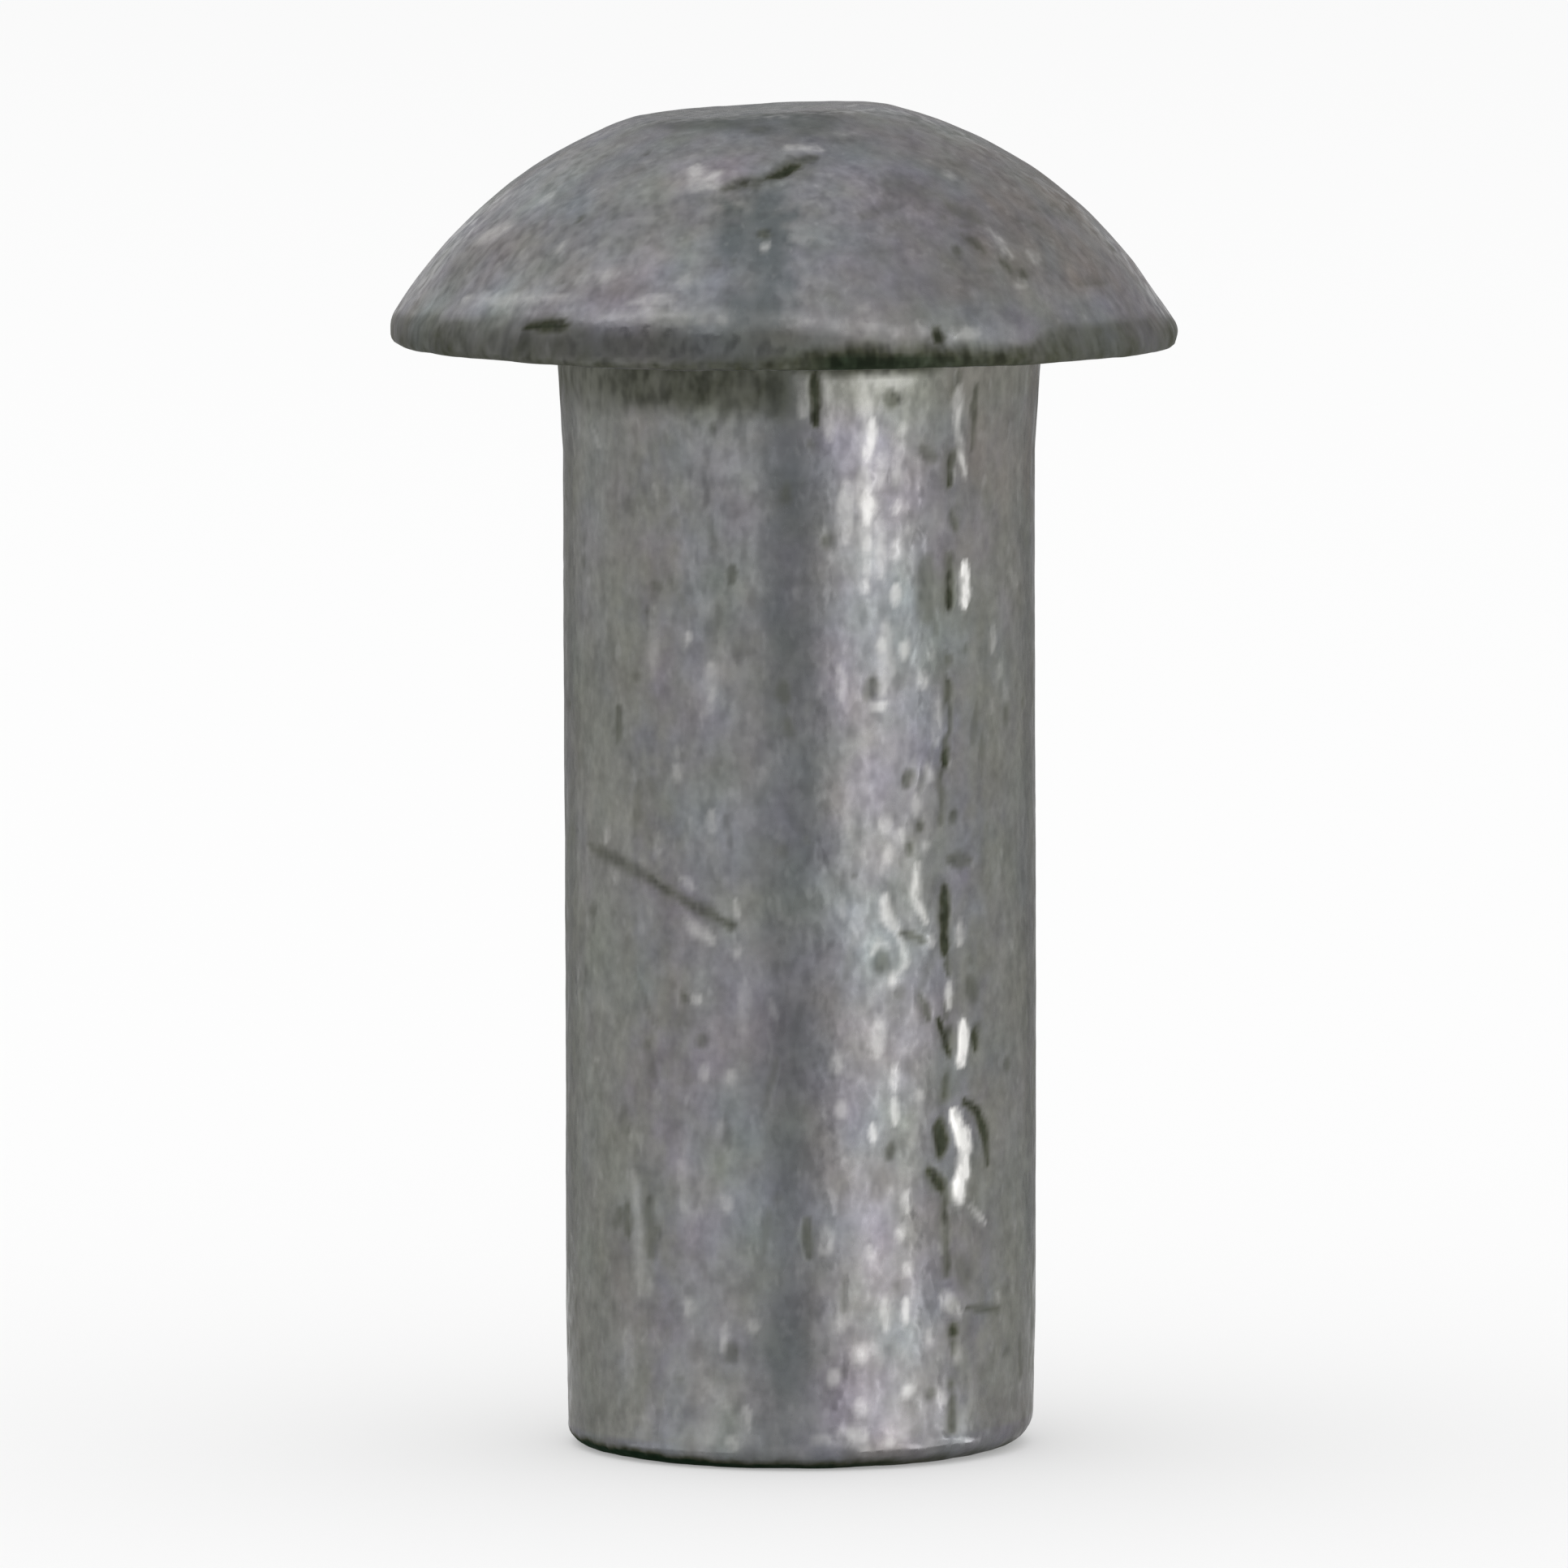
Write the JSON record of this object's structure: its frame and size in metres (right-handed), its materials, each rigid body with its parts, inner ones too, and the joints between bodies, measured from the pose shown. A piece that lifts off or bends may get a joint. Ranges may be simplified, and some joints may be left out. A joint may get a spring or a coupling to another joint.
{
  "type": "round head rivet",
  "caption": "Solid round head rivet with a plain cylindrical shank, cold headed in one piece from steel wire.",
  "frame": {"origin": "centre of the flat end face of the shank, on the shank's axis", "axes": "+Z along the shank's axis from the end face to the head; the head sits slightly off the axis, towards -X"},
  "size_m": [0.01, 0.01, 0.0171],
  "materials": {
    "steel": "dull dark grey plain steel, tumbled, with scuffs, a drawn score line and small burnished flakes"
  },
  "bodies": {
    "root": {"rivet": "steel"}
  },
  "joints": []
}
